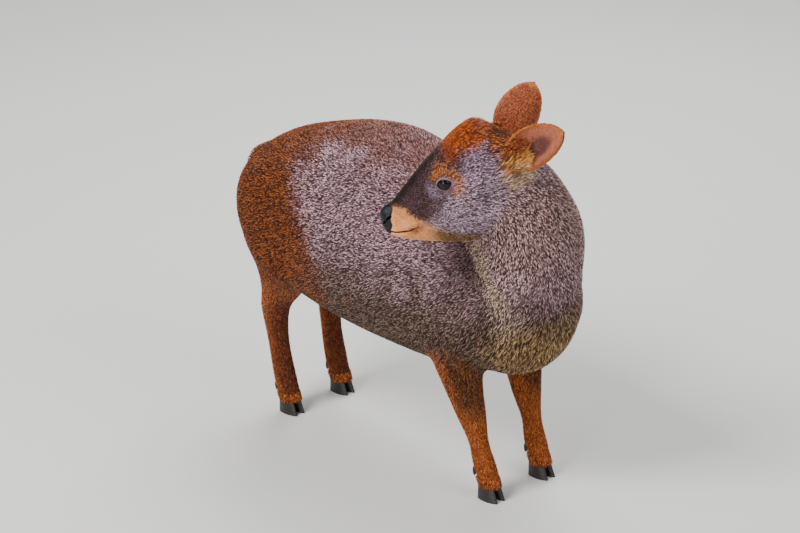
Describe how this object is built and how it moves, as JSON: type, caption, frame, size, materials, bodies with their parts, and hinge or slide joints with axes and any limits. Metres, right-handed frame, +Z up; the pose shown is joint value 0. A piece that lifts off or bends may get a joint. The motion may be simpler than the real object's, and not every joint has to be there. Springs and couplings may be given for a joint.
{
  "type": "southern pudu",
  "caption": "Life-size still model of a southern pudu doe, a very small deer, standing with its head turned back over its right flank.",
  "frame": {"origin": "centre of the whole animal's box, on the floor", "axes": "+X along the trunk towards the chest, +Y to the doe's left, +Z up"},
  "size_m": [0.5944, 0.2882, 0.5223],
  "materials": {
    "body_coat": "short speckled fur",
    "leg_coat": "short sleek fur",
    "ear_coat": "short fur, thin inside the cup",
    "eye": "wet gloss",
    "hoof": "dull horn"
  },
  "bodies": {
    "root": {"torso": "body_coat", "neck": "body_coat", "head": "body_coat", "tail": "body_coat", "leg_front_left": "leg_coat", "leg_front_right": "leg_coat", "leg_hind_left": "leg_coat", "leg_hind_right": "leg_coat", "ear_left": "ear_coat", "ear_right": "ear_coat", "eye_left": "eye", "eye_right": "eye", "hoof_front_left_outer": "hoof", "hoof_front_left_inner": "hoof", "hoof_hind_left_outer": "hoof", "hoof_hind_left_inner": "hoof", "hoof_front_right_outer": "hoof", "hoof_front_right_inner": "hoof", "hoof_hind_right_outer": "hoof", "hoof_hind_right_inner": "hoof"}
  },
  "joints": []
}
